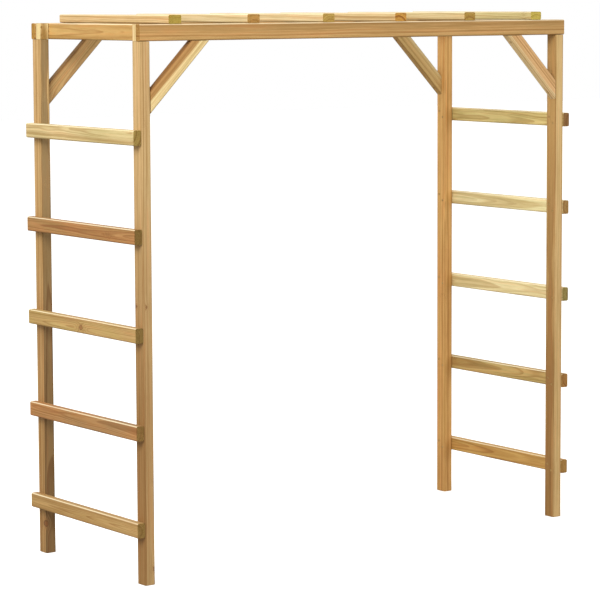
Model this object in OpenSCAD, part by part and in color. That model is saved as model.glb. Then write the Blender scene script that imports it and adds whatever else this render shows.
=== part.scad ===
// Garden monkey bars in pressure-treated softwood: two ladder ends, a top frame of
// beams and corner blocks on knee braces, and a row of overhead bars. Millimetres, +Z up.
// The origin is on the ground, below the middle of the frame.
// X runs along the frame, Y from the front (-) to the back (+).

/* [Frame] */
// Length over the outer faces of the posts
frame_length = 2005; // [1300:5:3000]
// Depth over the front and back faces of the posts
frame_depth = 735; // [450:5:1200]
// Height from the ground to the top of the long beams
frame_height = 2000; // [1500:5:2800]

/* [Posts] */
// Width of a post along the frame
post_width = 42; // [36:1:90]
// Depth of a post from front to back
post_depth = 54; // [48:1:90]

/* [Beams] */
// Height of the long beams and the cross beams
beam_height = 60; // [48:1:120]
// Thickness of the long beams and the cross beams
beam_thickness = 26; // [22:1:32]
// How far the long beams run past the outer faces of the posts
beam_overhang = 2; // [0:0.5:20]
// How far the long beams stand proud of the posts, front and back
beam_proud = 1; // [0:0.5:6]

/* [Knee braces] */
// Distance from the corner to the outer edge of a brace, along post and beam
brace_reach = 256; // [180:1:400]
// Width of a brace, seen from the front
brace_width = 56; // [40:1:80]
// Thickness of a brace from front to back
brace_thickness = 32; // [26:1:45]

/* [Rungs] */
// Height of a rung
rung_height = 55; // [40:1:90]
// Thickness of a rung
rung_thickness = 32; // [24:1:45]
// Height of the lowest rung's middle above the ground
first_rung_height = 202; // [120:1:400]
// Distance from the top of the beams down to the top rung's middle
top_rung_drop = 398; // [350:1:600]

/* [Overhead bars] */
// Width of an overhead bar
bar_width = 55; // [40:1:90]
// Thickness of an overhead bar
bar_thickness = 32; // [24:1:45]
// Distance from the end of the frame to the middle of the end bars
bar_inset = 148; // [110:1:400]

/* [Timber] */
// Radius of the eased long edges
arris = 6; // [1:0.5:8]

/* [Screws] */
// Thread diameter of the screws
screw_diameter = 5; // [4:0.5:6]
// Head diameter of the screws
screw_head = 9.5; // [8:0.5:12]
// How far a screw goes into the second piece
screw_bite = 18; // [14:1:20]
// Extra diameter of the clearance holes
clearance = 0.6; // [0.2:0.1:1]
// Depth of the heads below the timber's surface
head_sink = 0.8; // [0:0.1:2]

/* [Hidden] */
$fn = 48;

rung_count = 5;
bar_count = 6;
half_length = frame_length / 2;
half_depth = frame_depth / 2;
beam_bottom = frame_height - beam_height;
lap_depth = beam_thickness - beam_proud;
block_depth = post_depth - lap_depth;
rung_pitch = (frame_height - top_rung_drop - first_rung_height) / (rung_count - 1);
bar_pitch = (frame_length - 2 * bar_inset) / (bar_count - 1);

head_height = (screw_head - screw_diameter) / 2;
socket_size = 4.6;
socket_depth = 2.2;
tip_length = 5;

// places of the screws on the joints
rung_screw_spread = [post_depth / 5, rung_height / 4.5];
bar_screw_spread = bar_width / 4;
beam_screw_edge = 10;
beam_screw_spread = beam_height / 4;
cross_screw_spread = beam_height / 5;
brace_screw_run = 27;

pine_tan = "#c69a5e";
pine_honey = "#d3a868";
pine_pale = "#ddc98c";
pine_red = "#c08850";
screw_colour = "#c2a15f";

// ---- timber ----

// rectangle with rounded corners, centred
module eased_section(a, b) {
    union() {
        square([a - 2 * arris, b], center = true);
        square([a, b - 2 * arris], center = true);
        for (x = [-1, 1], y = [-1, 1])
            translate([x * (a / 2 - arris), y * (b / 2 - arris)]) circle(r = arris);
    }
}

// plank standing on z = 0, centred on the Z axis
module plank_z(length, a, b) {
    linear_extrude(height = length) eased_section(a, b);
}

// plank along X, centred: depth in Y, height in Z
module plank_x(length, depth, height) {
    translate([-length / 2, 0, 0]) rotate([90, 0, 90]) plank_z(length, depth, height);
}

// plank along Y, centred: width in X, height in Z
module plank_y(length, width, height) {
    translate([0, length / 2, 0]) rotate([90, 0, 0]) plank_z(length, width, height);
}

// ---- screws ----

// countersunk screw through the first piece, pointing to -Z, with its head sunk below z = 0
module screw(first_piece) {
    length = first_piece + screw_bite - head_sink;
    translate([0, 0, -head_sink])
        difference() {
            union() {
                translate([0, 0, -head_height])
                    cylinder(h = head_height, d1 = screw_diameter, d2 = screw_head);
                translate([0, 0, tip_length - length])
                    cylinder(h = length - tip_length, d = screw_diameter);
                translate([0, 0, -length])
                    cylinder(h = tip_length, d1 = 1, d2 = screw_diameter);
            }
            translate([0, 0, -socket_depth])
                cylinder(h = socket_depth + 1, d = socket_size, $fn = 6);
        }
}

// hole for that screw: sunk for the head, clear through the first piece, tight in the second
module screw_hole(first_piece) {
    translate([0, 0, -head_sink]) cylinder(h = head_sink + 1, d = screw_head);
    translate([0, 0, -head_sink - head_height])
        cylinder(h = head_height, d1 = screw_diameter, d2 = screw_head);
    translate([0, 0, -first_piece]) cylinder(h = first_piece - head_sink - head_height / 2,
        d = screw_diameter + clearance);
    translate([0, 0, -first_piece - screw_bite])
        cylinder(h = first_piece + screw_bite - head_sink, d = screw_diameter);
}

// what is drawn at each screw's place: the screw, or its hole
module screw_or_hole(first_piece, hole) {
    if (hole) screw_hole(first_piece);
    else screw(first_piece);
}

// ---- places: side is -1 at the left end and 1 at the right, face is -1 at the front ----

// two screws a rung and post, driven from the post's inner face
module rung_joint(side, face, i, hole = false) {
    inner_face = half_length - post_width;
    post_middle = half_depth - post_depth / 2;
    for (k = [-1, 1])
        translate([side * inner_face,
                   face * post_middle + k * rung_screw_spread[0],
                   rung_z(i) + k * rung_screw_spread[1]])
            rotate([0, -side * 90, 0]) screw_or_hole(post_width, hole);
}

// two screws a bar and beam, driven from above
module bar_joint(i, face, hole = false) {
    for (k = [-1, 1])
        translate([bar_x(i) + k * bar_screw_spread, face * beam_middle(),
                   frame_height + bar_thickness])
            screw_or_hole(bar_thickness, hole);
}

// two screws a corner block and long beam, driven from the block's inner face
module beam_joint(side, face, hole = false) {
    for (k = [-1, 1])
        translate([side * (half_length - beam_screw_edge),
                   face * (half_depth - post_depth),
                   frame_height - beam_height / 2 + k * beam_screw_spread])
            rotate([face * 90, 0, 0]) screw_or_hole(block_depth, hole);
}

// two screws a cross beam and corner block, driven from the cross beam's inner face
module cross_joint(side, face, hole = false) {
    for (k = [-1, 1])
        translate([side * (half_length - post_width - beam_thickness),
                   face * (half_depth - lap_depth - block_depth / 2),
                   frame_height - beam_height / 2 + k * cross_screw_spread])
            rotate([0, -side * 90, 0]) screw_or_hole(beam_thickness, hole);
}

// one screw a corner block and post, driven from above beside the cross beam's screws
module corner_joint(side, face, hole = false) {
    translate([side * (half_length - post_width / 2),
               face * (half_depth - post_depth + block_depth / 4), frame_height])
        screw_or_hole(beam_height, hole);
}

// one screw from the brace into the post and one into the beam above
module brace_joint(side, face, hole = false) {
    corner = half_length - post_width;
    run = brace_screw_run;
    seat = run - 2;
    translate([side * (corner - seat), face * (half_depth - brace_thickness / 2),
               beam_bottom - brace_reach + run])
        rotate([0, -side * 90, 0]) {
            screw_or_hole(seat, hole);
            if (hole) cylinder(h = brace_width, d = screw_head);
        }
    translate([side * (corner - brace_reach + run), face * beam_middle(),
               beam_bottom - seat])
        rotate([180, 0, 0]) {
            screw_or_hole(seat, hole);
            if (hole) cylinder(h = brace_width, d = screw_head);
        }
}

function rung_z(i) = first_rung_height + (i - 1) * rung_pitch;
function bar_x(i) = -half_length + bar_inset + (i - 1) * bar_pitch;
function beam_middle() = half_depth + beam_proud - beam_thickness / 2;

// ---- pieces ----

module post(side, face) {
    color(pine_tan)
        difference() {
            translate([side * (half_length - post_width / 2),
                       face * (half_depth - post_depth / 2), 0])
                plank_z(beam_bottom, post_width, post_depth);
            for (i = [1 : rung_count]) rung_joint(side, face, i, true);
            corner_joint(side, face, true);
            brace_joint(side, face, true);
        }
}

// stands on the post behind the long beam and joins it to the cross beam
module corner_block(side, face) {
    color(pine_pale)
        difference() {
            translate([side * (half_length - post_width / 2),
                       face * (half_depth - lap_depth - block_depth / 2), beam_bottom])
                plank_z(beam_height, post_width, block_depth);
            beam_joint(side, face, true);
            cross_joint(side, face, true);
            corner_joint(side, face, true);
        }
}

module long_beam(face) {
    color(pine_tan)
        difference() {
            translate([0, face * beam_middle(), frame_height - beam_height / 2])
                plank_x(frame_length + 2 * beam_overhang, beam_thickness, beam_height);
            for (side = [-1, 1]) {
                beam_joint(side, face, true);
                brace_joint(side, face, true);
            }
            for (i = [1 : bar_count]) bar_joint(i, face, true);
        }
}

module cross_beam(side) {
    color(pine_honey)
        difference() {
            translate([side * (half_length - post_width - beam_thickness / 2), 0,
                       frame_height - beam_height / 2])
                plank_y(frame_depth - 2 * lap_depth, beam_thickness, beam_height);
            for (face = [-1, 1]) cross_joint(side, face, true);
        }
}

module brace(side, face) {
    slant = brace_reach - brace_width * sqrt(2) / 2;
    color(pine_honey)
        difference() {
            translate([side * (half_length - post_width),
                       face * (half_depth - brace_thickness / 2), beam_bottom])
                intersection() {
                    translate([-side * slant / 2, 0, -slant / 2])
                        rotate([0, -side * 45, 0])
                            translate([0, 0, -brace_reach])
                                plank_z(2 * brace_reach, brace_width, brace_thickness);
                    translate([side > 0 ? -2 * brace_reach : 0,
                               -brace_thickness, -2 * brace_reach])
                        cube([2 * brace_reach, 2 * brace_thickness, 2 * brace_reach]);
                }
            brace_joint(side, face, true);
        }
}

module rung(side, i) {
    color(i % 2 == 1 ? pine_pale : pine_red)
        difference() {
            translate([side * (half_length + rung_thickness / 2), 0, rung_z(i)])
                plank_y(frame_depth, rung_thickness, rung_height);
            for (face = [-1, 1]) rung_joint(side, face, i, true);
        }
}

module bar(i) {
    color(i == 1 ? pine_honey : pine_pale)
        difference() {
            translate([bar_x(i), 0, frame_height + bar_thickness / 2])
                plank_y(frame_depth, bar_width, bar_thickness);
            for (face = [-1, 1]) bar_joint(i, face, true);
        }
}

module rung_screws(side) {
    color(screw_colour)
        for (face = [-1, 1], i = [1 : rung_count]) rung_joint(side, face, i);
}

module bar_screws() {
    color(screw_colour)
        for (face = [-1, 1], i = [1 : bar_count]) bar_joint(i, face);
}

module beam_screws() {
    color(screw_colour)
        for (side = [-1, 1], face = [-1, 1]) beam_joint(side, face);
}

module cross_beam_screws() {
    color(screw_colour)
        for (side = [-1, 1], face = [-1, 1]) cross_joint(side, face);
}

module corner_screws() {
    color(screw_colour)
        for (side = [-1, 1], face = [-1, 1]) corner_joint(side, face);
}

module brace_screws() {
    color(screw_colour)
        for (side = [-1, 1], face = [-1, 1]) brace_joint(side, face);
}

post(-1, -1);  // post_front_left
post(1, -1);  // post_front_right
post(-1, 1);  // post_back_left
post(1, 1);  // post_back_right
long_beam(-1);  // beam_front
long_beam(1);  // beam_back
cross_beam(-1);  // cross_beam_left
cross_beam(1);  // cross_beam_right
corner_block(-1, -1);  // corner_block_front_left
corner_block(1, -1);  // corner_block_front_right
corner_block(-1, 1);  // corner_block_back_left
corner_block(1, 1);  // corner_block_back_right
brace(-1, -1);  // brace_front_left
brace(1, -1);  // brace_front_right
brace(-1, 1);  // brace_back_left
brace(1, 1);  // brace_back_right
rung(-1, 1);  // rung_left_1
rung(-1, 2);  // rung_left_2
rung(-1, 3);  // rung_left_3
rung(-1, 4);  // rung_left_4
rung(-1, 5);  // rung_left_5
rung(1, 1);  // rung_right_1
rung(1, 2);  // rung_right_2
rung(1, 3);  // rung_right_3
rung(1, 4);  // rung_right_4
rung(1, 5);  // rung_right_5
bar(1);  // bar_1
bar(2);  // bar_2
bar(3);  // bar_3
bar(4);  // bar_4
bar(5);  // bar_5
bar(6);  // bar_6
rung_screws(-1);  // rung_screws_left
rung_screws(1);  // rung_screws_right
bar_screws();
beam_screws();
cross_beam_screws();
brace_screws();
corner_screws();
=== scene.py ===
import math

import bmesh
import bpy
import numpy as np
from mathutils import Matrix, Vector


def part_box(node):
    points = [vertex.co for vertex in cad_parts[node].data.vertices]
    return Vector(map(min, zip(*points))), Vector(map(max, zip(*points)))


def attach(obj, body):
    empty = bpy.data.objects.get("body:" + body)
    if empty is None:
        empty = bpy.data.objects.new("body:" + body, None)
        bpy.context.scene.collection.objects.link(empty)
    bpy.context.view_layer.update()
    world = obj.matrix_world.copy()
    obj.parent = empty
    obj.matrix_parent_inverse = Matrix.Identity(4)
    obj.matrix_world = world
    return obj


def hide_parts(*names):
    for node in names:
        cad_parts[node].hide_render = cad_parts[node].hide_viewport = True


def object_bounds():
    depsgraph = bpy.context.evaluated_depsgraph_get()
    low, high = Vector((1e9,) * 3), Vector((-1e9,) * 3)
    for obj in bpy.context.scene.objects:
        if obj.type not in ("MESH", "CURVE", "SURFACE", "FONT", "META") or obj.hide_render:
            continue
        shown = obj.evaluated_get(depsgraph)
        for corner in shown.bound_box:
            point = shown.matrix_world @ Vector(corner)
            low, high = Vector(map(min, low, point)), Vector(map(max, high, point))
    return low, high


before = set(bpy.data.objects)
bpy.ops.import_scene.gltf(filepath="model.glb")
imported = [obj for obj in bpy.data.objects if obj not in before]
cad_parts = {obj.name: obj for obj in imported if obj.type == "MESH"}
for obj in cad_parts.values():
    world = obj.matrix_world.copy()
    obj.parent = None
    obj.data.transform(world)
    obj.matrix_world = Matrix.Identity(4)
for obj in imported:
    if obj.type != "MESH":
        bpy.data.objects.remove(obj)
cadLow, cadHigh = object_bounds()
print("frame loaded:", len(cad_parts), "nodes")

cameraPlace = {
    "distance": 9.802,      # from the middle of the frame, over the ground
    "azimuth": -36.895,     # round from the front, degrees
    "height": 2.089,
    "heading": 36.736,      # to the right of +Y, degrees
    "pitch": -5.648,
    "roll": -0.2475,
    "lens": 152.3,
    "shiftUp": -0.085,
    "sensor": 36,
    "farthest": 100,
}


def makeCamera(place):
    camera = bpy.data.objects.new("camera", bpy.data.cameras.new("camera"))
    bpy.context.scene.collection.objects.link(camera)
    around = math.radians(place["azimuth"])
    heading, pitch, roll = (math.radians(place[key]) for key in ("heading", "pitch", "roll"))
    ahead = Vector((math.sin(heading) * math.cos(pitch), math.cos(heading) * math.cos(pitch),
                    math.sin(pitch)))
    level = Vector((math.cos(heading), -math.sin(heading), 0))
    right = Matrix.Rotation(-roll, 3, ahead) @ level
    up = right.cross(ahead)
    camera.matrix_world = Matrix.Translation((
        place["distance"] * math.sin(around), -place["distance"] * math.cos(around), place["height"],
    )) @ Matrix((right, up, -ahead)).transposed().to_4x4()
    camera.data.sensor_width = place["sensor"]
    camera.data.lens = place["lens"]
    camera.data.shift_y = place["shiftUp"]
    camera.data.clip_end = place["farthest"]
    bpy.context.scene.camera = camera


makeCamera(cameraPlace)
print("camera placed")


def feed(tree, socket, source):
    if isinstance(source, bpy.types.NodeSocket):
        tree.links.new(source, socket)
    elif source is not None:
        socket.default_value = source


def addNode(tree, kind, inputs=None, **settings):
    node = tree.nodes.new(kind)
    for key, value in settings.items():
        setattr(node, key, value)
    for name, source in (inputs or {}).items():
        feed(tree, node.inputs[name], source)
    return node


def calc(tree, operation, *values, clamp=False):
    node = addNode(tree, "ShaderNodeMath", dict(enumerate(values)), operation=operation, use_clamp=clamp)
    return node.outputs[0]


def vecCalc(tree, operation, *values):
    node = addNode(tree, "ShaderNodeVectorMath", dict(enumerate(values)), operation=operation)
    return node.outputs["Value" if operation in ("LENGTH", "DOT_PRODUCT") else "Vector"]


def splitVec(tree, vector):
    return addNode(tree, "ShaderNodeSeparateXYZ", {0: vector}).outputs


def joinVec(tree, x, y, z):
    return addNode(tree, "ShaderNodeCombineXYZ", {0: x, 1: y, 2: z}).outputs[0]


def ramp(tree, value, low, high, toLow=0.0, toHigh=1.0):
    inputs = {"Value": value, "From Min": low, "From Max": high, "To Min": toLow, "To Max": toHigh}
    return addNode(tree, "ShaderNodeMapRange", inputs, interpolation_type="SMOOTHSTEP").outputs["Result"]


def blendColour(tree, share, first, second, how="MIX"):
    node = addNode(tree, "ShaderNodeMix", data_type="RGBA", blend_type=how, clamp_factor=True)
    for socket, source in zip((node.inputs[0], node.inputs[6], node.inputs[7]), (share, first, second)):
        feed(tree, socket, source)
    return node.outputs[2]


def newTree(name, kind, inputs, outputs):
    tree = bpy.data.node_groups.new(name, kind)
    for inOut, sockets in (("INPUT", inputs), ("OUTPUT", outputs)):
        for label, (socketKind, value) in sockets.items():
            socket = tree.interface.new_socket(label, in_out=inOut, socket_type=socketKind)
            if value is not None:
                socket.default_value = value
    return tree, tree.nodes.new("NodeGroupInput").outputs, tree.nodes.new("NodeGroupOutput").inputs


def linear(code):
    channels = (int(code[i:i + 2], 16) / 255 for i in (1, 3, 5))
    return tuple(c / 12.92 if c <= 0.04045 else ((c + 0.055) / 1.055) ** 2.4 for c in channels) + (1.0,)


def sizeOf(node):
    low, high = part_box(node)
    return high - low


def middleOf(node):
    low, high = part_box(node)
    return (low + high) / 2


def pieceName(node):
    first, *others = node.split("_")
    return first + "".join(word.title() for word in others)


boardCut = {
    "arris": 0.006,         # radius of the planed long edges
    "sawnEdge": 0.0008,     # the sawn ends are only just broken
    "edgeSteps": 3,
    "stepAlong": 0.03,
    "stepAcross": 0.009,
    "waviness": 0.0005,     # how far the planer and drying leave the faces from flat
    "waveSize": 7.0,
    "waveShift": 3.7,       # from one board of a row to the next
    "endFacing": 0.6,       # a face turned this much along the board is its end
    "seed": 11,
}


def boardTree():    # a row of boards: each board lies along X, and the row runs along Y
    floats = ("Length", "Width", "Thickness", "Arris", "Sawn Edge", "Pitch", "Waviness", "Wave Size")
    inputs = {name: ("NodeSocketFloat", 0.0) for name in floats}
    inputs.update({name: ("NodeSocketInt", 2) for name in
                   ("Steps Along", "Steps Across", "Steps Through", "Edge Steps", "Count", "Seed")})
    inputs["Material"] = ("NodeSocketMaterial", None)
    outputs = {"Boards": ("NodeSocketGeometry", None)}
    tree, given, result = newTree("boardRow", "GeometryNodeTree", inputs, outputs)
    steps = joinVec(tree, given["Steps Along"], given["Steps Across"], given["Steps Through"])
    cube = addNode(tree, "GeometryNodeMeshCube", {
        "Size": vecCalc(tree, "SUBTRACT", steps, (1, 1, 1)), "Vertices X": given["Steps Along"],
        "Vertices Y": given["Steps Across"], "Vertices Z": given["Steps Through"]}).outputs["Mesh"]
    # each vertex's count of steps from the middle, and how far it is into the eased band at its edge
    place = addNode(tree, "GeometryNodeInputPosition").outputs[0]
    sign = vecCalc(tree, "SIGN", place)
    reach = vecCalc(tree, "ABSOLUTE", place)
    bandSteps = joinVec(tree, given["Edge Steps"], given["Edge Steps"], given["Edge Steps"])
    lastStep = vecCalc(tree, "MULTIPLY", vecCalc(tree, "SUBTRACT", steps, (1, 1, 1)), (0.5, 0.5, 0.5))
    flatSteps = vecCalc(tree, "SUBTRACT", lastStep, bandSteps)
    flat = vecCalc(tree, "MINIMUM", vecCalc(tree, "DIVIDE", reach, flatSteps), (1, 1, 1))
    toEdge = vecCalc(tree, "DIVIDE", vecCalc(tree, "SUBTRACT", lastStep, reach), bandSteps)
    band = vecCalc(tree, "MAXIMUM", vecCalc(tree, "SUBTRACT", (1, 1, 1), toEdge), (0, 0, 0))
    flatX, flatY, flatZ = splitVec(tree, flat)
    bandX, bandY, bandZ = splitVec(tree, band)
    # the square band is bent to a circle of the arris's radius
    most = calc(tree, "MAXIMUM", bandY, bandZ)
    slant = calc(tree, "MAXIMUM", vecCalc(tree, "LENGTH", joinVec(tree, 0.0, bandY, bandZ)), 1e-6)
    turn = calc(tree, "MULTIPLY", bandX, math.pi / 2)
    sunk = calc(tree, "SUBTRACT", 1.0, calc(tree, "COSINE", turn))
    inset = calc(tree, "MULTIPLY", given["Sawn Edge"], sunk)
    radius = calc(tree, "SUBTRACT", given["Arris"], inset)
    bend = calc(tree, "MULTIPLY", radius, calc(tree, "DIVIDE", most, slant))

    def acrossPlace(size, flatShare, bandShare):
        straight = calc(tree, "MULTIPLY", calc(tree, "SUBTRACT", calc(tree, "MULTIPLY", size, 0.5),
                                               given["Arris"]), flatShare)
        return calc(tree, "ADD", straight, calc(tree, "MULTIPLY", bend, bandShare))

    halfFlat = calc(tree, "SUBTRACT", calc(tree, "MULTIPLY", given["Length"], 0.5), given["Sawn Edge"])
    along = calc(tree, "ADD", calc(tree, "MULTIPLY", halfFlat, flatX),
                 calc(tree, "MULTIPLY", given["Sawn Edge"], calc(tree, "SINE", turn)))
    shaped = joinVec(tree, along, acrossPlace(given["Width"], flatY, bandY),
                     acrossPlace(given["Thickness"], flatZ, bandZ))
    board = addNode(tree, "GeometryNodeSetPosition", {
        "Geometry": cube, "Position": vecCalc(tree, "MULTIPLY", shaped, sign)}).outputs[0]
    # the row
    start = calc(tree, "MULTIPLY", calc(tree, "SUBTRACT", given["Count"], 1.0),
                 calc(tree, "MULTIPLY", given["Pitch"], -0.5))
    spots = addNode(tree, "GeometryNodeMeshLine", {
        "Count": given["Count"], "Start Location": joinVec(tree, 0.0, start, 0.0),
        "Offset": joinVec(tree, 0.0, given["Pitch"], 0.0)}, mode="OFFSET").outputs[0]
    row = addNode(tree, "GeometryNodeInstanceOnPoints", {"Points": spots, "Instance": board}).outputs[0]
    numbered = addNode(tree, "GeometryNodeStoreNamedAttribute", {
        "Geometry": row, "Name": "boardIndex", "Value": addNode(tree, "GeometryNodeInputIndex").outputs[0]},
        data_type="FLOAT", domain="INSTANCE").outputs[0]
    solid = addNode(tree, "GeometryNodeRealizeInstances", {"Geometry": numbered}).outputs[0]
    # faces left slightly wavy, always inwards
    index = addNode(tree, "GeometryNodeInputNamedAttribute", {"Name": "boardIndex"},
                    data_type="FLOAT").outputs[0]
    wave = addNode(tree, "ShaderNodeTexNoise", {
        "Vector": addNode(tree, "GeometryNodeInputPosition").outputs[0],
        "W": calc(tree, "ADD", calc(tree, "MULTIPLY", index, boardCut["waveShift"]), given["Seed"]),
        "Scale": given["Wave Size"], "Detail": 2.0}, noise_dimensions="4D").outputs[0]
    push = vecCalc(tree, "SCALE", addNode(tree, "GeometryNodeInputNormal").outputs[0])
    depth = calc(tree, "MULTIPLY", wave, given["Waviness"])
    feed(tree, push.node.inputs["Scale"], calc(tree, "MULTIPLY", depth, -1.0))
    wavy = addNode(tree, "GeometryNodeSetPosition", {"Geometry": solid, "Offset": push}).outputs[0]
    smooth = addNode(tree, "GeometryNodeSetShadeSmooth", {"Geometry": wavy}).outputs[0]
    finished = addNode(tree, "GeometryNodeSetMaterial", {"Geometry": smooth, "Material": given["Material"]})
    feed(tree, result["Boards"], finished.outputs[0])
    return tree


def setInputs(modifier, values):
    for item in modifier.node_group.interface.items_tree:
        if item.item_type == "SOCKET" and item.in_out == "INPUT" and item.name in values:
            modifier[item.identifier] = values[item.name]


def newObject(name, mesh):
    obj = bpy.data.objects.new(name, mesh)
    bpy.context.scene.collection.objects.link(obj)
    return obj


def settle(obj):    # the evaluated mesh becomes the object's own, and its modifiers go
    graph = bpy.context.evaluated_depsgraph_get()
    mesh = bpy.data.meshes.new_from_object(obj.evaluated_get(graph), preserve_all_data_layers=True,
                                           depsgraph=graph)
    old = obj.data
    obj.modifiers.clear()
    obj.data = mesh
    mesh.name = obj.name
    bpy.data.meshes.remove(old)
    return obj


boardRow = boardTree()


def makeBoards(name, place, size, count=1, pitch=0.0):
    obj = newObject(name, bpy.data.meshes.new(name))
    modifier = obj.modifiers.new("boards", "NODES")
    modifier.node_group = boardRow
    steps = [round(extent / step) + 2 * boardCut["edgeSteps"] + 1 for extent, step in
             zip(size, (boardCut["stepAlong"], boardCut["stepAcross"], boardCut["stepAcross"]))]
    setInputs(modifier, {
        "Length": size[0], "Width": size[1], "Thickness": size[2], "Count": count, "Pitch": pitch,
        "Steps Along": steps[0], "Steps Across": steps[1], "Steps Through": steps[2],
        "Edge Steps": boardCut["edgeSteps"], "Arris": boardCut["arris"], "Sawn Edge": boardCut["sawnEdge"],
        "Waviness": boardCut["waviness"], "Wave Size": boardCut["waveSize"],
        "Seed": boardCut["seed"] + sum(map(ord, name)) % 97})
    settle(obj)
    obj.data.transform(place)
    return obj


def axesAt(along, across, middle):    # board axes: X along the grain, Y across, Z through
    along, across = Vector(along).normalized(), Vector(across).normalized()
    turned = Matrix((along, across, along.cross(across))).transposed().to_4x4()
    return Matrix.Translation(middle) @ turned


def spunMesh(name, outline, steps, lobes=None, lobeCount=6):
    # outline: (radius, height) from one pole to the other; lobes: how far a ring waves in and out
    shape = bmesh.new()
    rings = []
    for i, (radius, height) in enumerate(outline):
        if radius == 0:
            rings.append([shape.verts.new((0, 0, height))])
            continue
        ring = []
        for k in range(steps):
            angle = 2 * math.pi * k / steps
            wide = radius * (1 + (lobes or {}).get(i, 0.0) * math.cos(lobeCount * angle))
            ring.append(shape.verts.new((wide * math.cos(angle), wide * math.sin(angle), height)))
        rings.append(ring)
    for upper, lower in zip(rings, rings[1:]):
        for k in range(steps):
            corners = [upper[k % len(upper)], lower[k % len(lower)],
                       lower[(k + 1) % len(lower)], upper[(k + 1) % len(upper)]]
            shape.faces.new(list(dict.fromkeys(corners)))
    bmesh.ops.recalc_face_normals(shape, faces=shape.faces)
    mesh = bpy.data.meshes.new(name)
    shape.to_mesh(mesh)
    shape.free()
    return mesh


screwShape = {
    "headWidth": 0.0095,
    "shankWidth": 0.005,
    "coreWidth": 0.0036,
    "headHeight": 0.00225,
    "threadPitch": 0.004,
    "socketWidth": 0.0042,
    "socketDepth": 0.0021,
    "socketWave": 0.16,
    "socketFloor": 0.82,    # the socket's floor against its mouth
    "headEdge": 0.0003,
    "neck": 0.8,            # the plain shank against the thread's full width
    "plainShare": 0.35,     # of the length, up to where the thread starts
    "threadShare": 0.55,
    "threadDrop": 0.3,      # from a crest down to its root, in pitches
    "tipLength": 0.004,
    "steps": 18,
    "holeSteps": 20,
    "gap": 0.0001,          # round the head, in its sunk hole
    "seed": 5,
}


def looseParts(mesh):    # the corner points of each separate solid in a node
    shape = bmesh.new()
    shape.from_mesh(mesh)
    bmesh.ops.remove_doubles(shape, verts=shape.verts, dist=1e-6)
    shape.verts.index_update()
    shape.verts.ensure_lookup_table()
    seen, parts = set(), []
    for first in range(len(shape.verts)):
        if first in seen:
            continue
        seen.add(first)
        waiting, points = [first], []
        while waiting:
            vert = shape.verts[waiting.pop()]
            points.append(tuple(vert.co))
            for edge in vert.link_edges:
                other = edge.other_vert(vert).index
                if other not in seen:
                    seen.add(other)
                    waiting.append(other)
        parts.append(np.array(points))
    shape.free()
    return parts


def screwPlaces(node):    # (middle of the head's face, direction of the tip, length) of each screw
    places = []
    for points in looseParts(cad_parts[node].data):
        low, high = points.min(0), points.max(0)
        axis = int(np.argmax(high - low))
        middle = (low + high) / 2
        sides = np.linalg.norm(np.delete(points - middle, axis, 1), axis=1)
        widest = points[np.argmax(sides), axis]
        headHigh = abs(widest - high[axis]) < abs(widest - low[axis])
        head, aim = middle.copy(), np.zeros(3)
        head[axis] = (high if headHigh else low)[axis]
        aim[axis] = -1 if headHigh else 1
        places.append((Vector(head), Vector(aim), float((high - low)[axis])))
    return sorted(places, key=lambda item: [round(c, 4) for c in item[0]])


screwGroups = {node: screwPlaces(node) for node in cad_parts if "screws" in node}
print("screws found:", sum(len(places) for places in screwGroups.values()))


def headsIn(*nodes):    # the screws whose heads are sunk in these pieces
    boxes = [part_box(node) for node in nodes]
    return [item for places in screwGroups.values() for item in places if any(
        all(a < c < b for a, c, b in zip(low, item[0], high)) for low, high in boxes)]


def headHoles(places, entry=0.004):    # one cutter with a sunk hole for each of these screws
    shape = bmesh.new()
    radius = screwShape["headWidth"] / 2 + screwShape["gap"]
    shank = screwShape["shankWidth"] / 2 + screwShape["gap"]
    sink = screwShape["headHeight"]
    outline = [(0, entry), (radius, entry), (radius, 0), (shank, -sink), (shank, -2 * sink), (0, -2 * sink)]
    single = spunMesh("hole", outline, screwShape["holeSteps"])
    for head, aim, _ in places:
        place = Matrix.Translation(head) @ (-aim).to_track_quat("Z", "Y").to_matrix().to_4x4()
        single.transform(place)
        shape.from_mesh(single)
        single.transform(place.inverted())
    mesh = bpy.data.meshes.new("holes")
    shape.to_mesh(mesh)
    shape.free()
    bpy.data.meshes.remove(single)
    return mesh


def cutAway(obj, mesh):
    cutter = newObject("cutter", mesh)
    modifier = obj.modifiers.new("cut", "BOOLEAN")
    modifier.operation, modifier.solver, modifier.object = "DIFFERENCE", "EXACT", cutter
    settle(obj)
    bpy.data.objects.remove(cutter)
    bpy.data.meshes.remove(mesh)


sawnTone = {
    "plain": "#a58a4c",             # a board that states none
    "lift": (1.06, 1.13, 1.13),     # how much lighter a stated one is, in red, green and blue
}


def sawnColour(tone):
    if "sawn" not in tone:
        return sawnTone["plain"]
    levels = [int(tone["sawn"][i:i + 2], 16) * lift for i, lift in zip((1, 3, 5), sawnTone["lift"])]
    return "#" + "".join(f"{min(255, round(level)):02x}" for level in levels)


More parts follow.
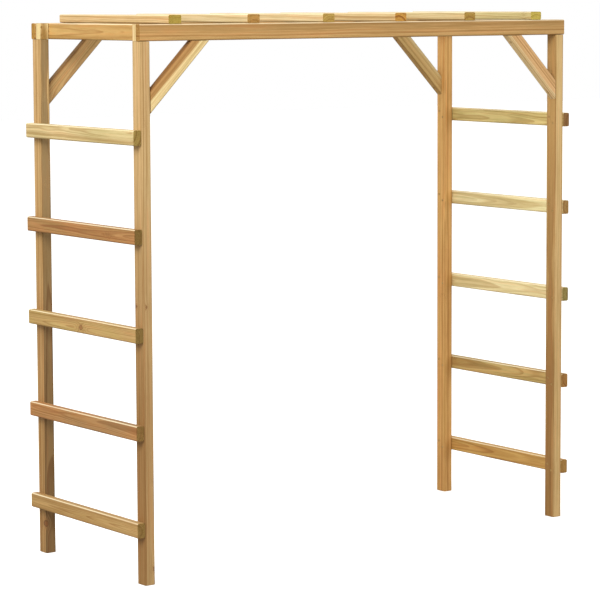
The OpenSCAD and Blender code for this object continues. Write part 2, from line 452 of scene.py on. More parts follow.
def markBoards(obj, place, size, tones, pitch=0.0):    # what the pine materials read on each board
    mesh = obj.data
    count = len(tones)
    points = np.empty(len(mesh.vertices) * 3, np.float32)
    mesh.vertices.foreach_get("co", points)
    turn = np.array(place.to_3x3())
    local = (points.reshape(-1, 3) - np.array(place.translation)) @ turn
    index = np.zeros(len(local), int)
    if count > 1:
        index = np.clip(np.rint(local[:, 1] / pitch + (count - 1) / 2), 0, count - 1).astype(int)
        local[:, 1] -= (index - (count - 1) / 2) * pitch
    inside = [size[axis] / 2 - np.abs(local[:, axis]) for axis in (1, 2)]
    eased = [np.clip(1 - depth / boardCut["arris"], 0, 1) for depth in inside]
    normals = np.empty(len(mesh.polygons) * 3, np.float32)
    mesh.polygons.foreach_get("normal", normals)
    facing = np.abs(normals.reshape(-1, 3) @ turn[:, 0]) > boardCut["endFacing"]

    def store(label, kind, domain, values):
        field = "value" if kind == "FLOAT" else "vector" if kind == "FLOAT_VECTOR" else "color"
        mesh.attributes.new(label, kind, domain).data.foreach_set(field, np.ravel(values).astype(np.float32))

    def perBoard(pick):
        return np.array([pick(tone) for tone in tones], np.float32)[index]

    def tinted(colourOf, shareKey, share=0.0):    # a colour, with a share in its alpha
        return perBoard(lambda tone: linear(colourOf(tone))[:3] + (tone.get(shareKey, share),))

    store("board", "FLOAT_VECTOR", "POINT", local)
    store("boardEdge", "FLOAT", "POINT", np.minimum(*eased) * math.sqrt(2))
    store("boardEnd", "FLOAT", "FACE", facing)
    store("boardSeed", "FLOAT", "POINT", perBoard(lambda tone: tone["seed"]))
    store("boardPith", "FLOAT_VECTOR", "POINT",
          perBoard(lambda tone: tone["pith"] + (tone.get("heart", 0.0),)))
    store("boardBase", "FLOAT_COLOR", "POINT", tinted(lambda tone: tone["base"], "rings", 0.5))
    store("boardStain", "FLOAT_COLOR", "POINT",
          tinted(lambda tone: tone.get("stain", tone["base"]), "stainShare"))
    # the heart colour, and in its alpha the share of painted shade towards the ground
    store("boardHeart", "FLOAT_COLOR", "POINT",
          tinted(lambda tone: tone.get("heartColour", tone["base"]), "damp"))
    # the sawn-end colour, and in its alpha the share of painted shade on faces turned to -X
    store("boardSawn", "FLOAT_COLOR", "POINT", tinted(sawnColour, "weather"))


ringShape = {
    "driftScale": (2.2, 9.0, 9.0),    # how fast the rings wander, along and across the board
    "swing": 4.0,
    "knotPull": 0.009,
    "unevenScale": 95.0,
    "unevenRings": 2.4,
    "riseFrom": 0.35,                 # shares of one year's ring
    "riseTo": 0.92,
    "fallFrom": 0.94,
    "heartEdge": 0.0012,
}


# what runs along the board: yearly rings seen on every face, the sapwood's edge and a slow wander
def ringGroup():
    tree, given, result = newTree("growthRings", "ShaderNodeTree", {
        "Board": ("NodeSocketVector", None), "Pith": ("NodeSocketVector", None),
        "Seed": ("NodeSocketFloat", 0.0), "Pull": ("NodeSocketFloat", 0.0),
        "Ring Width": ("NodeSocketFloat", 0.003), "Wander": ("NodeSocketFloat", 0.004),
        "Taper": ("NodeSocketFloat", 0.012)}, {
        "Late": ("NodeSocketFloat", None), "Heart": ("NodeSocketFloat", None),
        "Band": ("NodeSocketFloat", None)})
    along, across, through = splitVec(tree, given["Board"])
    pithY, pithZ, heartSize = splitVec(tree, given["Pith"])
    slow = addNode(tree, "ShaderNodeTexNoise", {
        "Vector": vecCalc(tree, "MULTIPLY", given["Board"], ringShape["driftScale"]), "W": given["Seed"],
        "Scale": 1.0, "Detail": 2.0}, noise_dimensions="4D").outputs
    _, driftY, driftZ = splitVec(tree, vecCalc(tree, "SUBTRACT", slow["Color"], (0.5, 0.5, 0.5)))
    swing = calc(tree, "MULTIPLY", given["Wander"], ringShape["swing"])
    sideways = calc(tree, "ADD", calc(tree, "SUBTRACT", across, pithY),
                    calc(tree, "MULTIPLY", driftY, swing))
    climb = calc(tree, "MULTIPLY", along, given["Taper"])
    inwards = calc(tree, "ADD", calc(tree, "ADD", calc(tree, "SUBTRACT", through, pithZ), climb),
                   calc(tree, "MULTIPLY", driftZ, swing))
    radius = vecCalc(tree, "LENGTH", joinVec(tree, 0.0, sideways, inwards))
    pulled = calc(tree, "ADD", radius, calc(tree, "MULTIPLY", given["Pull"], ringShape["knotPull"]))
    uneven = addNode(tree, "ShaderNodeTexNoise", {
        "W": calc(tree, "ADD", calc(tree, "MULTIPLY", pulled, ringShape["unevenScale"]), given["Seed"]),
        "Scale": 1.0, "Detail": 1.0}, noise_dimensions="1D").outputs[0]
    count = calc(tree, "ADD", calc(tree, "DIVIDE", pulled, given["Ring Width"]),
                 calc(tree, "MULTIPLY", uneven, ringShape["unevenRings"]))
    season = calc(tree, "FRACT", count)
    rise = ramp(tree, season, ringShape["riseFrom"], ringShape["riseTo"])
    fall = ramp(tree, season, ringShape["fallFrom"], 1.0, 1.0, 0.0)
    feed(tree, result["Late"], calc(tree, "MULTIPLY", rise, fall))
    inHeart = calc(tree, "SUBTRACT", heartSize, pulled)
    feed(tree, result["Heart"], ramp(tree, inHeart, -ringShape["heartEdge"], ringShape["heartEdge"]))
    feed(tree, result["Band"], uneven)
    return tree


fibreShape = {    # scale along and across the board, detail, roughness
    "Streak": ((3.2, 120.0, 120.0), 4.0, 0.6),
    "Fine": ((26.0, 900.0, 900.0), 3.0, 0.7),
    "Blotch": ((3.6, 17.0, 17.0), 3.0, 0.55),
}


# long pale and dark streaks, the fine pores that planing opens, and broad patches
def fibreGroup():
    tree, given, result = newTree("woodFibre", "ShaderNodeTree", {
        "Board": ("NodeSocketVector", None), "Seed": ("NodeSocketFloat", 0.0),
        "Fineness": ("NodeSocketFloat", 1.0)}, {
        label: ("NodeSocketFloat", None) for label in fibreShape})
    for label, (stretch, detail, rough) in fibreShape.items():
        spread = vecCalc(tree, "MULTIPLY", given["Board"], stretch)
        scaled = vecCalc(tree, "SCALE", spread)
        feed(tree, scaled.node.inputs["Scale"], given["Fineness"])
        noise = addNode(tree, "ShaderNodeTexNoise", {
            "Vector": scaled, "W": calc(tree, "MULTIPLY", given["Seed"], 1.7), "Scale": 1.0,
            "Detail": detail, "Roughness": rough}, noise_dimensions="4D").outputs[0]
        feed(tree, result[label], ramp(tree, noise, 0.28, 0.72))
    return tree


knotShape = {
    "seedShift": 0.37,
    "scatter": 0.55,      # along the board, as a share of the spacing
    "stretch": 0.72,      # knots are longer along the board than across it
    "raggedScale": 160.0,
    "ragged": 0.0015,
    "smallest": 0.35,
    "pullSize": 2.6,      # how far out the rings swing, in knot radii
}


# knots run through the board; the rings swing round each one
def knotGroup():
    tree, given, result = newTree("knots", "ShaderNodeTree", {
        "Board": ("NodeSocketVector", None), "Seed": ("NodeSocketFloat", 0.0),
        "Spacing": ("NodeSocketFloat", 0.3), "Spread": ("NodeSocketFloat", 0.05),
        "Size": ("NodeSocketFloat", 0.007), "Share": ("NodeSocketFloat", 0.6)}, {
        "Core": ("NodeSocketFloat", None), "Rim": ("NodeSocketFloat", None),
        "Pull": ("NodeSocketFloat", None)})
    along, across, through = splitVec(tree, given["Board"])
    count = calc(tree, "ADD", calc(tree, "DIVIDE", along, given["Spacing"]),
                 calc(tree, "MULTIPLY", given["Seed"], knotShape["seedShift"]))
    cell = calc(tree, "FLOOR", count)
    chance = addNode(tree, "ShaderNodeTexWhiteNoise", {
        "Vector": joinVec(tree, cell, given["Seed"], 0.0)}, noise_dimensions="3D").outputs
    placeAlong, placeAcross, sizeShare = splitVec(tree, chance["Color"])
    shift = calc(tree, "MULTIPLY", calc(tree, "SUBTRACT", placeAlong, 0.5), knotShape["scatter"])
    inCell = calc(tree, "SUBTRACT", calc(tree, "FRACT", count), 0.5)
    fromAlong = calc(tree, "MULTIPLY", calc(tree, "SUBTRACT", inCell, shift), given["Spacing"])
    middle = calc(tree, "MULTIPLY", calc(tree, "SUBTRACT", placeAcross, 0.5), given["Spread"])
    lean = calc(tree, "MULTIPLY", through, calc(tree, "SUBTRACT", sizeShare, 0.5))
    fromAcross = calc(tree, "SUBTRACT", calc(tree, "SUBTRACT", across, middle), lean)
    ragged = addNode(tree, "ShaderNodeTexNoise", {
        "Vector": given["Board"], "W": given["Seed"], "Scale": knotShape["raggedScale"], "Detail": 2.0},
        noise_dimensions="4D").outputs[0]
    shortened = calc(tree, "MULTIPLY", fromAlong, knotShape["stretch"])
    away = calc(tree, "ADD", vecCalc(tree, "LENGTH", joinVec(tree, shortened, fromAcross, 0.0)),
                calc(tree, "MULTIPLY", calc(tree, "SUBTRACT", ragged, 0.5), knotShape["ragged"]))
    radius = calc(tree, "MULTIPLY", given["Size"], calc(tree, "ADD", sizeShare, knotShape["smallest"]))
    there = calc(tree, "LESS_THAN", chance["Value"], given["Share"])
    scaled = calc(tree, "DIVIDE", away, radius)
    feed(tree, result["Core"], calc(tree, "MULTIPLY", ramp(tree, scaled, 1.08, 0.92), there))
    rim = calc(tree, "MULTIPLY", ramp(tree, scaled, 0.72, 0.98), ramp(tree, scaled, 1.35, 1.05))
    feed(tree, result["Rim"], calc(tree, "MULTIPLY", rim, there))
    squared = calc(tree, "POWER", calc(tree, "DIVIDE", scaled, knotShape["pullSize"]), 2.0)
    spread = calc(tree, "EXPONENT", calc(tree, "MULTIPLY", squared, -1.0))
    feed(tree, result["Pull"], calc(tree, "MULTIPLY", spread, there))
    return tree


shared = {"rings": ringGroup(), "fibre": fibreGroup(), "knots": knotGroup()}


def useGroup(tree, label, inputs):
    node = addNode(tree, "ShaderNodeGroup", node_tree=shared[label])
    for name, source in inputs.items():
        feed(tree, node.inputs[name], source)
    return node.outputs


def attribute(tree, label):
    return addNode(tree, "ShaderNodeAttribute", attribute_name=label).outputs


def pine(name, look):
    material = bpy.data.materials.new(name)
    material.use_nodes = True
    tree = material.node_tree
    tree.nodes.clear()
    board = attribute(tree, "board")["Vector"]
    seed = attribute(tree, "boardSeed")["Fac"]
    knots = useGroup(tree, "knots", {"Board": board, "Seed": seed, "Share": look["knotShare"],
                                     "Size": look["knotSize"], "Spacing": look["knotSpacing"]})
    pith = attribute(tree, "boardPith")["Vector"]
    rings = useGroup(tree, "rings", {"Board": board, "Pith": pith, "Seed": seed,
                                     "Pull": knots["Pull"], "Ring Width": look["ringWidth"],
                                     "Wander": look["wander"], "Taper": look["taper"]})
    fibre = useGroup(tree, "fibre", {"Board": board, "Seed": seed, "Fineness": look["fineness"]})
    base = attribute(tree, "boardBase")
    stain = attribute(tree, "boardStain")
    end = attribute(tree, "boardEnd")["Fac"]
    # the alphas of these two hold the shares of painted shade towards the ground and on faces turned to -X
    heart = attribute(tree, "boardHeart")
    sawn = attribute(tree, "boardSawn")
    facing = splitVec(tree, addNode(tree, "ShaderNodeNewGeometry").outputs["Normal"])

    # sapwood or heartwood, patches, sawn ends, then rings and streaks
    wood = blendColour(tree, rings["Heart"], base["Color"], heart["Color"])
    patch = calc(tree, "MULTIPLY", fibre["Blotch"], stain["Alpha"])
    wood = blendColour(tree, patch, wood, stain["Color"])
    wood = blendColour(tree, calc(tree, "MULTIPLY", end, look["sawnShare"]), wood, sawn["Color"])
    band = ramp(tree, rings["Band"], look["bandFrom"], look["bandTo"])
    bandShare = calc(tree, "MULTIPLY", band, look["bands"])
    wood = blendColour(tree, bandShare, wood, look["bandTint"], "MULTIPLY")
    contrast = calc(tree, "ADD", base["Alpha"], calc(tree, "MULTIPLY", end, look["endRings"]))
    ringShare = calc(tree, "MULTIPLY", rings["Late"], contrast)
    wood = blendColour(tree, ringShare, wood, look["lateTint"], "MULTIPLY")
    streak = calc(tree, "MULTIPLY", fibre["Streak"], look["streaks"])
    wood = blendColour(tree, streak, wood, look["streakTint"], "MULTIPLY")
    blush = calc(tree, "MULTIPLY", ramp(tree, fibre["Streak"], 0.5, 0.0), look["blush"])
    wood = blendColour(tree, blush, wood, look["blushTint"], "MULTIPLY")
    pores = calc(tree, "MULTIPLY", fibre["Fine"], ramp(tree, end, 0.0, 1.0, look["poreShare"], 1.0))
    wood = blendColour(tree, pores, wood, look["poreTint"], "MULTIPLY")

    # knots, the arrises darkened (least where they face up), painted shade on upper faces, and a painted
    # highlight on the upper arrises
    halo = calc(tree, "MULTIPLY", knots["Pull"], look["haloShare"])
    wood = blendColour(tree, halo, wood, look["knotHalo"], "MULTIPLY")
    core = calc(tree, "MULTIPLY", knots["Core"], look["coreShare"])
    wood = blendColour(tree, core, wood, look["knotColour"])
    rim = calc(tree, "MULTIPLY", knots["Rim"], look["rimShare"])
    wood = blendColour(tree, rim, wood, look["knotRim"])
    arris = attribute(tree, "boardEdge")["Fac"]
    upward = ramp(tree, facing[2], 0.15, 0.6)
    # the arrises darkened, least where they face up
    arrisDarkening = calc(tree, "MULTIPLY", arris, calc(tree, "SUBTRACT", look["arrisGrime"], upward), clamp=True)
    wood = blendColour(tree, arrisDarkening, wood, look["grimeTint"], "MULTIPLY")
    # painted shade: faces turned up darkened, holding down how bright the light from above makes them
    paintedTopShade = calc(tree, "MULTIPLY", upward, look["topGrime"])
    wood = blendColour(tree, paintedTopShade, wood, look["grimeTint"], "MULTIPLY")
    # painted highlight: arrises facing up made pale, as if catching the light from above, broken by the
    # streaks and kept off the sawn ends
    palerMask = calc(tree, "MULTIPLY", calc(tree, "MULTIPLY", arris, upward),
                ramp(tree, fibre["Streak"], 0.0, 0.6, 0.5, 1.0))
    palerMask = calc(tree, "MULTIPLY", palerMask, calc(tree, "SUBTRACT", look["edgeLight"], end), clamp=True)
    wood = blendColour(tree, palerMask, wood, look["edgeColour"])

    # painted shade: the timber darker towards the ground, part of it stronger on faces turned to -X
    height = splitVec(tree, addNode(tree, "ShaderNodeTexCoord").outputs["Object"])[2]
    weather = calc(tree, "MULTIPLY", ramp(tree, facing[0], -0.2, -0.8), sawn["Alpha"])
    damp = calc(tree, "MULTIPLY", ramp(tree, height, look["dampTop"], look["dampFull"]),
                calc(tree, "ADD", heart["Alpha"], weather))
    wood = blendColour(tree, damp, wood, look["dampTint"], "MULTIPLY")

    relief = calc(tree, "ADD", calc(tree, "MULTIPLY", fibre["Fine"], look["poreRelief"]),
                  calc(tree, "MULTIPLY", rings["Late"], look["ringRelief"]))
    relief = calc(tree, "ADD", relief, calc(tree, "MULTIPLY", knots["Core"], look["knotRelief"]))
    relief = calc(tree, "ADD", relief, calc(tree, "MULTIPLY", fibre["Streak"], look["streakRelief"]))
    bump = addNode(tree, "ShaderNodeBump", {
        "Height": relief, "Strength": look["bump"], "Distance": look["bumpDepth"]})
    rough = ramp(tree, fibre["Streak"], 0.0, 1.0, look["roughness"] - 0.06, look["roughness"] + 0.08)
    rough = calc(tree, "ADD", rough, calc(tree, "MULTIPLY", end, look["endRoughness"]), clamp=True)
    shader = addNode(tree, "ShaderNodeBsdfPrincipled", {
        "Base Color": wood, "Roughness": rough, "Normal": bump.outputs[0],
        "Specular IOR Level": look["specular"]})
    addNode(tree, "ShaderNodeOutputMaterial", {"Surface": shader.outputs[0]})
    return material


pineLook = {
    "ringWidth": 0.0034, "wander": 0.004, "taper": 0.012, "fineness": 1.0,
    "lateTint": linear("#bd9a6c"), "streaks": 0.6, "streakTint": linear("#c2ae7e"),
    "blush": 0.5, "blushTint": linear("#f2cfae"),
    "poreShare": 0.35, "poreTint": linear("#dcc6a0"),
    "knotShare": 0.14, "knotSize": 0.006, "knotSpacing": 0.32,
    "knotHalo": linear("#c89b66"), "knotColour": linear("#8f5c30"), "knotRim": linear("#5e3b1e"),
    "haloShare": 0.35, "coreShare": 0.8, "rimShare": 0.75,
    # how dark the arrises go, the painted shade on upper faces, and the tint both darken with
    "arrisGrime": 0.45, "topGrime": 0.0, "grimeTint": linear("#aa9666"),
    "sawnShare": 0.85, "endRings": 0.4,
    # painted highlight on the upper arrises: its strength and its pale colour
    "edgeLight": 0.85, "edgeColour": linear("#f6e8c2"),
    "bands": 0.5, "bandFrom": 0.46, "bandTo": 0.7, "bandTint": linear("#c6a97a"),
    # painted shade towards the ground: the height it starts at, the height it is full at, and its tint
    "dampTop": 1.8, "dampFull": 0.5, "dampTint": linear("#b09468"),    # heights over the ground
    "poreRelief": 0.5, "ringRelief": 0.5, "knotRelief": 0.6, "streakRelief": 0.4,
    "bump": 0.6, "bumpDepth": 0.0006,
    "roughness": 0.62, "endRoughness": 0.12, "specular": 0.3,
}

pines = {
    "pine_tan": pine("pineTan", {**pineLook, "taper": 0.006}),
    "pine_honey": pine("pineHoney", {**pineLook, "ringWidth": 0.0040}),
    "pine_pale": pine("pinePale", {**pineLook, "knotShare": 0.08}),
    # the braces: no painted highlight on their arrises, and painted shade on their upper faces
    "brace": pine("pineBrace", {**pineLook, "edgeLight": 0.0, "topGrime": 0.75}),
}
print("pine materials ready")


def finishPiece(obj, nodes, slotName, finish=None):
    shading = obj.modifiers.new("normals", "WEIGHTED_NORMAL")
    shading.keep_sharp = True
    obj.data.set_sharp_from_angle(angle=math.radians(40))
    settle(obj)
    obj.data.materials.clear()
    obj.data.materials.append(pines[finish or slotName])
    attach(obj, "root")
    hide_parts(*nodes)


postLook = {
    # on some posts, the share of painted shade towards the ground, and of the extra on faces turned to -X
    "front_left": {"base": "#e0c796", "stain": "#c69860", "stainShare": 0.3, "pith": (0.03, -0.045),
                   "seed": 3.1, "rings": 0.45, "damp": 0.45, "weather": 0.36},
    "front_right": {"base": "#f5dca4", "heartColour": "#d2b176", "heart": 0.084, "stain": "#c09a62",
                    "stainShare": 0.3, "pith": (-0.1, 0.0), "seed": 8.4, "rings": 0.45, "damp": 0.25,
                    "weather": 0.3},
    "back_left": {"base": "#eacc95", "heartColour": "#a28c64", "heart": 0.079, "stain": "#b0905e",
                  "stainShare": 0.3, "pith": (0.0, -0.1), "seed": 5.2, "rings": 0.6, "damp": 0.5},
    "back_right": {"base": "#fad088", "stain": "#cc8c4c", "stainShare": 0.4, "pith": (-0.03, -0.04),
                   "seed": 12.7, "rings": 0.5, "damp": 0.25},
}

blockLook = {
    "front_left": {"base": "#efdcab", "pith": (0.03, 0.03), "seed": 2.6, "rings": 0.35},
    "front_right": {"base": "#e6cd96", "pith": (0.03, -0.03), "seed": 6.2, "rings": 0.4},
    "back_left": {"base": "#fff0bc", "heartColour": "#bfa162", "heart": 0.087, "pith": (0.0, -0.1),
                  "seed": 9.1, "rings": 0.3},
    "back_right": {"base": "#e2c48a", "pith": (-0.03, 0.03), "seed": 3.9, "rings": 0.4},
}


def makeUprights(looks, kind, slotName):    # posts, and the blocks that stand on them
    for corner, tone in looks.items():
        node = kind + corner
        width, depth, height = sizeOf(node)
        place = axesAt((0, 0, 1), (1, 0, 0), middleOf(node))
        upright = makeBoards(pieceName(node), place, (height, width, depth))
        cutAway(upright, headHoles(headsIn(node)))
        markBoards(upright, place, (height, width, depth), [tone])
        finishPiece(upright, [node], slotName)


beamLook = {
    "front": {"base": "#dcb67a", "heartColour": "#c8a268", "heart": 0.041, "pith": (0.045, 0.0), "seed": 2.3,
              "stain": "#a18b54", "stainShare": 0.25, "rings": 0.45, "sawn": "#b48c50"},
    "back": {"base": "#d6ac70", "stain": "#97793f", "stainShare": 0.3, "pith": (0.01, 0.03), "seed": 6.6,
             "sawn": "#c89c50"},
}


def makeBeams():
    for face, tone in beamLook.items():
        node = "beam_" + face
        length, thickness, height = sizeOf(node)
        place = axesAt((1, 0, 0), (0, 0, 1), middleOf(node))
        beam = makeBoards("beam" + face.title(), place, (length, height, thickness))
        markBoards(beam, place, (length, height, thickness), [tone])
        finishPiece(beam, [node], "pine_tan")


crossLook = {
    "left": {"base": "#e2c17f", "stain": "#bb8848", "stainShare": 0.3, "pith": (0.0, 0.04), "seed": 4.4},
    "right": {"base": "#d2a96c", "stain": "#a98750", "stainShare": 0.3, "pith": (0.02, -0.035), "seed": 9.3},
}


def makeCrossBeams():
    for side, tone in crossLook.items():
        node = "cross_beam_" + side
        thickness, length, height = sizeOf(node)
        place = axesAt((0, 1, 0), (0, 0, 1), middleOf(node))
        beam = makeBoards("crossBeam" + side.title(), place, (length, height, thickness))
        cutAway(beam, headHoles(headsIn(node)))
        markBoards(beam, place, (length, height, thickness), [tone])
        finishPiece(beam, [node], "pine_honey")


braceCut = {"width": 0.056}
braceLook = {
    "front_left": {"base": "#f4e2ac", "heartColour": "#c49a60", "heart": 0.033, "pith": (-0.034, 0.0),
                   "seed": 7.5, "rings": 0.3},
    "front_right": {"base": "#f2dcae", "heartColour": "#ecc692", "heart": 0.076, "pith": (-0.06, 0.0),
                    "seed": 1.9},
    "back_left": {"base": "#d2b27e", "stain": "#a8945c", "stainShare": 0.4, "pith": (0.02, 0.03),
                  "seed": 3.8},
    "back_right": {"base": "#f4e6b6", "heartColour": "#e6cc90", "heart": 0.076, "stain": "#a8945c",
                   "stainShare": 0.25, "pith": (0.06, 0.0), "seed": 10.6},
}


def makeBraces():
    for corner, tone in braceLook.items():
        node = "brace_" + corner
        low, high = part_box(node)
        reach, thickness = high.z - low.z, high.y - low.y
        side = -1 if "left" in corner else 1
        inner = high.x if side > 0 else low.x
        width = braceCut["width"]
        middleReach = reach - width / math.sqrt(2)
        length = middleReach * math.sqrt(2)
        middle = (inner - side * middleReach / 2, (low.y + high.y) / 2, high.z - middleReach / 2)
        place = axesAt((-side, 0, 1), (-side, 0, -1), middle)
        brace = makeBoards(pieceName(node), Matrix.Identity(4), (length, width, thickness))
        for vert in brace.data.vertices:    # the ends are sawn at 45 degrees
            vert.co.x *= (length + 2 * vert.co.y) / length
        brace.data.transform(place)
        cutAway(brace, headHoles(headsIn(node), width))
        markBoards(brace, place, (length, width, thickness), [tone])
        finishPiece(brace, [node], "pine_honey", "brace")


rungLook = {
    "left": [
        {"base": "#cbad75", "stain": "#b99258", "stainShare": 0.4, "pith": (0.0, -0.03), "seed": 2.2,
         "sawn": "#927842"},
        {"base": "#cc965e", "stain": "#948b68", "stainShare": 0.5, "pith": (0.01, -0.05), "seed": 4.9,
         "sawn": "#8f7440"},
        {"base": "#cdb677", "stain": "#c5946e", "stainShare": 0.55, "pith": (-0.01, -0.04), "seed": 6.1,
         "sawn": "#85703a"},
        {"base": "#c7935f", "stain": "#9f8a56", "stainShare": 0.6, "pith": (0.0, -0.035), "seed": 7.7,
         "sawn": "#7f6a34"},
        {"base": "#ead9a8", "stain": "#c0ba82", "stainShare": 0.55, "pith": (0.015, -0.05), "seed": 9.4,
         "sawn": "#a08a44"},
    ],
    "right": [
        {"base": "#dfba70", "stain": "#c08d4c", "stainShare": 0.5, "pith": (0.0, 0.04), "seed": 1.4,
         "sawn": "#b08c54"},
        {"base": "#dab97a", "stain": "#a7a366", "stainShare": 0.55, "pith": (0.01, 0.03), "seed": 3.6,
         "sawn": "#b4844c"},
        {"base": "#fff4c4", "stain": "#e6deaa", "stainShare": 0.5, "pith": (0.0, 0.03), "seed": 5.5,
         "rings": 0.4, "sawn": "#8e8448"},
        {"base": "#fff8c8", "stain": "#ece8b4", "stainShare": 0.5, "pith": (0.0, 0.035), "seed": 8.8,
         "rings": 0.25, "sawn": "#a4783e"},
        {"base": "#f4e4a2", "stain": "#b9b06c", "stainShare": 0.55, "pith": (-0.01, 0.04), "seed": 11.2,
         "sawn": "#8a5c38"},
    ],
}


def makeRungs():
    for side, tones in rungLook.items():
        nodes = [f"rung_{side}_{i + 1}" for i in range(len(tones))]
        thickness, length, height = sizeOf(nodes[0])
        first, last = middleOf(nodes[0]), middleOf(nodes[-1])
        pitch = (last.z - first.z) / (len(nodes) - 1)
        place = axesAt((0, 1, 0), (0, 0, 1), (first + last) / 2)
        rungs = makeBoards("rungs" + side.title(), place, (length, height, thickness), len(nodes), pitch)
        markBoards(rungs, place, (length, height, thickness), tones, pitch)
        finishPiece(rungs, nodes, "pine_pale")


barLook = [
    {"base": "#f3ddac", "stain": "#dcbe82", "stainShare": 0.4, "pith": (0.01, -0.03), "seed": 2.7,
     "sawn": "#b8a440"},
    {"base": "#f4e6bc", "stain": "#e2cc98", "stainShare": 0.35, "pith": (0.0, -0.04), "seed": 4.3,
     "sawn": "#c49448"},
    {"base": "#f4e4b8", "stain": "#dfc990", "stainShare": 0.35, "pith": (0.01, -0.03), "seed": 6.8,
     "sawn": "#c4a450"},
    {"base": "#f2e0b0", "stain": "#dec088", "stainShare": 0.35, "pith": (-0.01, -0.035), "seed": 9.9,
     "sawn": "#dca040"},
    {"base": "#f0e2b4", "stain": "#d6c88c", "stainShare": 0.35, "pith": (0.0, -0.03), "seed": 12.3,
     "sawn": "#c09c44"},
    {"base": "#eee4b0", "stain": "#cec888", "stainShare": 0.45, "pith": (0.005, -0.045), "seed": 14.1,
     "sawn": "#dccb62"},
]


def makeBars():
    nodes = [f"bar_{i + 1}" for i in range(len(barLook))]
    width, length, thickness = sizeOf(nodes[0])
    first, last = middleOf(nodes[0]), middleOf(nodes[-1])
    pitch = (last.x - first.x) / (len(nodes) - 1)
    place = axesAt((0, -1, 0), (1, 0, 0), (first + last) / 2)
    bars = makeBoards("overheadBars", place, (length, width, thickness), len(nodes), pitch)
    cutAway(bars, headHoles(headsIn(*nodes)))
    markBoards(bars, place, (length, width, thickness), barLook, pitch)
    finishPiece(bars, nodes, "pine_pale")


makeUprights(postLook, "post_", "pine_tan")
makeUprights(blockLook, "corner_block_", "pine_pale")
makeBeams()
makeCrossBeams()
makeBraces()
makeRungs()
makeBars()
print("timber made")


screwLook = {
    "coat": ("#c09c5c", "#a88850"),
    "coatScale": 900.0,
    "rubbed": "#cdbd94",
    "rubShare": 0.35,
    "rubScale": 420.0,
    "roughness": 0.48,
    "rubShine": 0.2,        # how much smoother the rubbed metal is
    "metal": 0.5,
}


def screwFinish():    # yellow plated steel, rubbed bright where the driver has turned
    material = bpy.data.materials.new("yellowScrew")
    material.use_nodes = True
    tree = material.node_tree
    tree.nodes.clear()
    place = addNode(tree, "ShaderNodeTexCoord").outputs["Object"]
    mottle = addNode(tree, "ShaderNodeTexNoise", {
        "Vector": place, "Scale": screwLook["coatScale"], "Detail": 3.0}).outputs[0]
    palerMask = addNode(tree, "ShaderNodeTexNoise", {
        "Vector": place, "Scale": screwLook["rubScale"], "Detail": 2.0}).outputs[0]
    rub = ramp(tree, palerMask, 0.52, 0.66)
    coat = blendColour(tree, ramp(tree, mottle, 0.3, 0.7), *map(linear, screwLook["coat"]))
    colour = blendColour(tree, calc(tree, "MULTIPLY", rub, screwLook["rubShare"]), coat,
                         linear(screwLook["rubbed"]))
    rough = calc(tree, "SUBTRACT", screwLook["roughness"],
                 calc(tree, "MULTIPLY", rub, screwLook["rubShine"]))
    bump = addNode(tree, "ShaderNodeBump", {"Height": mottle, "Strength": 0.3, "Distance": 0.0001})
    shader = addNode(tree, "ShaderNodeBsdfPrincipled", {
        "Base Color": colour, "Roughness": rough, "Metallic": screwLook["metal"],
        "Normal": bump.outputs[0]})
    addNode(tree, "ShaderNodeOutputMaterial", {"Surface": shader.outputs[0]})
    return material


def screwMesh(length):    # head up at the origin, tip down
    half = {key: screwShape[key] / 2 for key in ("headWidth", "shankWidth", "coreWidth", "socketWidth")}
    head, pitch, rim = screwShape["headHeight"], screwShape["threadPitch"], screwShape["headEdge"]
    socket = half["socketWidth"] * screwShape["socketFloor"]
    neck = half["shankWidth"] * screwShape["neck"]
    threadTop = -length * screwShape["plainShare"]
    outline = [(0, -screwShape["socketDepth"]), (socket, -screwShape["socketDepth"]),
               (half["socketWidth"], 0), (half["headWidth"] - rim, 0), (half["headWidth"], -rim),
               (neck, -head), (neck, threadTop)]
    turns = int(length * screwShape["threadShare"] / pitch)
    for i in range(turns):
        level = threadTop - pitch * (i + 0.5)
        outline += [(half["shankWidth"], level),
                    (half["coreWidth"], level - pitch * screwShape["threadDrop"])]
    outline += [(half["coreWidth"], -length + screwShape["tipLength"]), (0, -length)]
    socketWave = {1: screwShape["socketWave"], 2: screwShape["socketWave"]}
    mesh = spunMesh("screwShape", outline, screwShape["steps"], socketWave)
    mesh.polygons.foreach_set("use_smooth", [True] * len(mesh.polygons))
    mesh.set_sharp_from_angle(angle=math.radians(35))
    return mesh


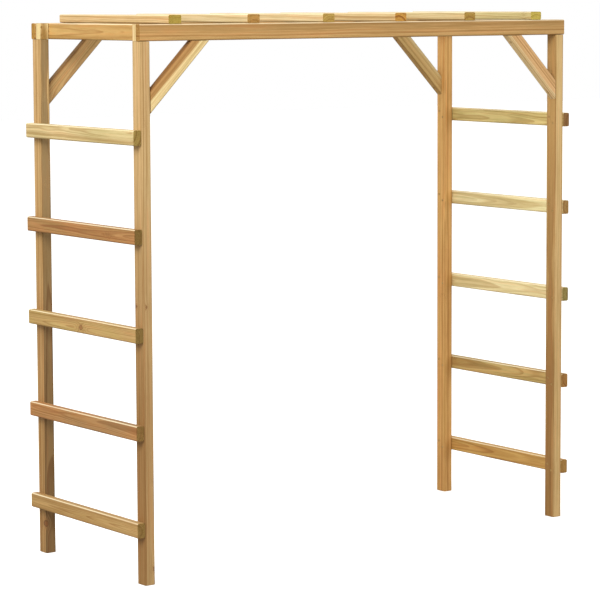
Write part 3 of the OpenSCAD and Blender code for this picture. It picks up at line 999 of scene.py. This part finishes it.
def screwTree():    # one screw on every point, along the point's aim, turned at random
    tree, given, result = newTree("screwSet", "GeometryNodeTree", {
        "Points": ("NodeSocketGeometry", None), "Screw": ("NodeSocketObject", None),
        "Seed": ("NodeSocketInt", 0), "Material": ("NodeSocketMaterial", None)}, {
        "Screws": ("NodeSocketGeometry", None)})
    aim = addNode(tree, "GeometryNodeInputNamedAttribute", {"Name": "aim"},
                  data_type="FLOAT_VECTOR").outputs[0]
    spin = addNode(tree, "FunctionNodeRandomValue", {3: 2 * math.pi, "Seed": given["Seed"]},
                   data_type="FLOAT")
    turned = addNode(tree, "FunctionNodeAxisAngleToRotation", {"Angle": spin.outputs[1]})
    turned.inputs["Axis"].default_value = (0, 0, 1)
    aligned = addNode(tree, "FunctionNodeAlignRotationToVector", {
        "Rotation": turned.outputs[0], "Vector": aim}, axis="Z")
    screw = addNode(tree, "GeometryNodeObjectInfo", {"Object": given["Screw"]}).outputs["Geometry"]
    placed = addNode(tree, "GeometryNodeInstanceOnPoints", {
        "Points": given["Points"], "Instance": screw, "Rotation": aligned.outputs[0]}).outputs[0]
    solid = addNode(tree, "GeometryNodeRealizeInstances", {"Geometry": placed}).outputs[0]
    finished = addNode(tree, "GeometryNodeSetMaterial", {"Geometry": solid, "Material": given["Material"]})
    feed(tree, result["Screws"], finished.outputs[0])
    return tree


def makeScrews():
    tree = screwTree()
    finish = screwFinish()
    for node, places in screwGroups.items():
        mesh = bpy.data.meshes.new(pieceName(node))
        mesh.from_pydata([tuple(head) for head, _, _ in places], [], [])
        aims = mesh.attributes.new("aim", "FLOAT_VECTOR", "POINT")
        aims.data.foreach_set("vector", np.ravel([tuple(-aim) for _, aim, _ in places]).astype(np.float32))
        screws = newObject(mesh.name, mesh)
        template = newObject("screwTemplate", screwMesh(places[0][2]))
        modifier = screws.modifiers.new("screws", "NODES")
        modifier.node_group = tree
        setInputs(modifier, {"Screw": template, "Seed": screwShape["seed"], "Material": finish})
        settle(screws)
        bpy.data.objects.remove(template)
        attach(screws, "root")
        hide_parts(node)


makeScrews()
print("screws made")

studio = {
    "floorSize": 60.0,
    "floorDrop": 0.001,
    "floorTones": ("#fbfaf7", "#f6f5f1"),
    "floorShade": "#a8a49c",    # what the floor throws back on the timber
    "floorGlow": 0.4,           # only where the camera sees it
    "skyLight": 0.87,       # soft light from all round
    "keyPower": 430.0, "keySize": 3.5, "keyPlace": (-5.5, -3.4, 5.2),
    "fillPower": 76.0, "fillSize": 4.0, "fillPlace": (4.5, -6.0, 3.0),
}


def makeFloor():
    half = studio["floorSize"] / 2
    mesh = bpy.data.meshes.new("floor")
    corners = [(-half, -half), (half, -half), (half, half), (-half, half)]
    mesh.from_pydata([(x, y, cadLow.z - studio["floorDrop"]) for x, y in corners], [], [(0, 1, 2, 3)])
    floor = newObject("floor", mesh)
    material = bpy.data.materials.new("studioFloor")
    material.use_nodes = True
    tree = material.node_tree
    shader = tree.nodes["Principled BSDF"]
    grain = addNode(tree, "ShaderNodeTexNoise", {"Scale": 30.0, "Detail": 3.0}).outputs[0]
    seen = addNode(tree, "ShaderNodeLightPath").outputs["Is Camera Ray"]
    pale = blendColour(tree, grain, *map(linear, studio["floorTones"]))
    feed(tree, shader.inputs["Base Color"], blendColour(tree, seen, linear(studio["floorShade"]), pale))
    feed(tree, shader.inputs["Emission Color"], (1, 1, 1, 1))
    feed(tree, shader.inputs["Emission Strength"], calc(tree, "MULTIPLY", seen, studio["floorGlow"]))
    shader.inputs["Roughness"].default_value = 0.9
    shader.inputs["Specular IOR Level"].default_value = 0.1
    mesh.materials.append(material)


def makeLight(name, place, size, power):
    light = bpy.data.objects.new(name, bpy.data.lights.new(name, "AREA"))
    bpy.context.scene.collection.objects.link(light)
    light.data.shape, light.data.size, light.data.energy = "SQUARE", size, power
    light.location = place
    middle = (cadLow + cadHigh) / 2
    light.rotation_euler = (middle - light.location).to_track_quat("-Z", "Y").to_euler()


def makeSky():
    world = bpy.data.worlds.new("studioSky")
    bpy.context.scene.world = world
    world.use_nodes = True
    tree = world.node_tree
    seen = addNode(tree, "ShaderNodeLightPath").outputs["Is Camera Ray"]
    backdrop = tree.nodes["Background"]
    backdrop.inputs["Color"].default_value = (1, 1, 1, 1)
    feed(tree, backdrop.inputs["Strength"], addNode(tree, "ShaderNodeMapRange", {
        "Value": seen, "To Min": studio["skyLight"], "To Max": 1.0}).outputs[0])


makeFloor()
makeSky()
makeLight("keyLight", studio["keyPlace"], studio["keySize"], studio["keyPower"])
makeLight("fillLight", studio["fillPlace"], studio["fillSize"], studio["fillPower"])
bpy.context.scene.view_settings.view_transform = "Standard"
print("studio ready")

bpy.context.view_layer.update()
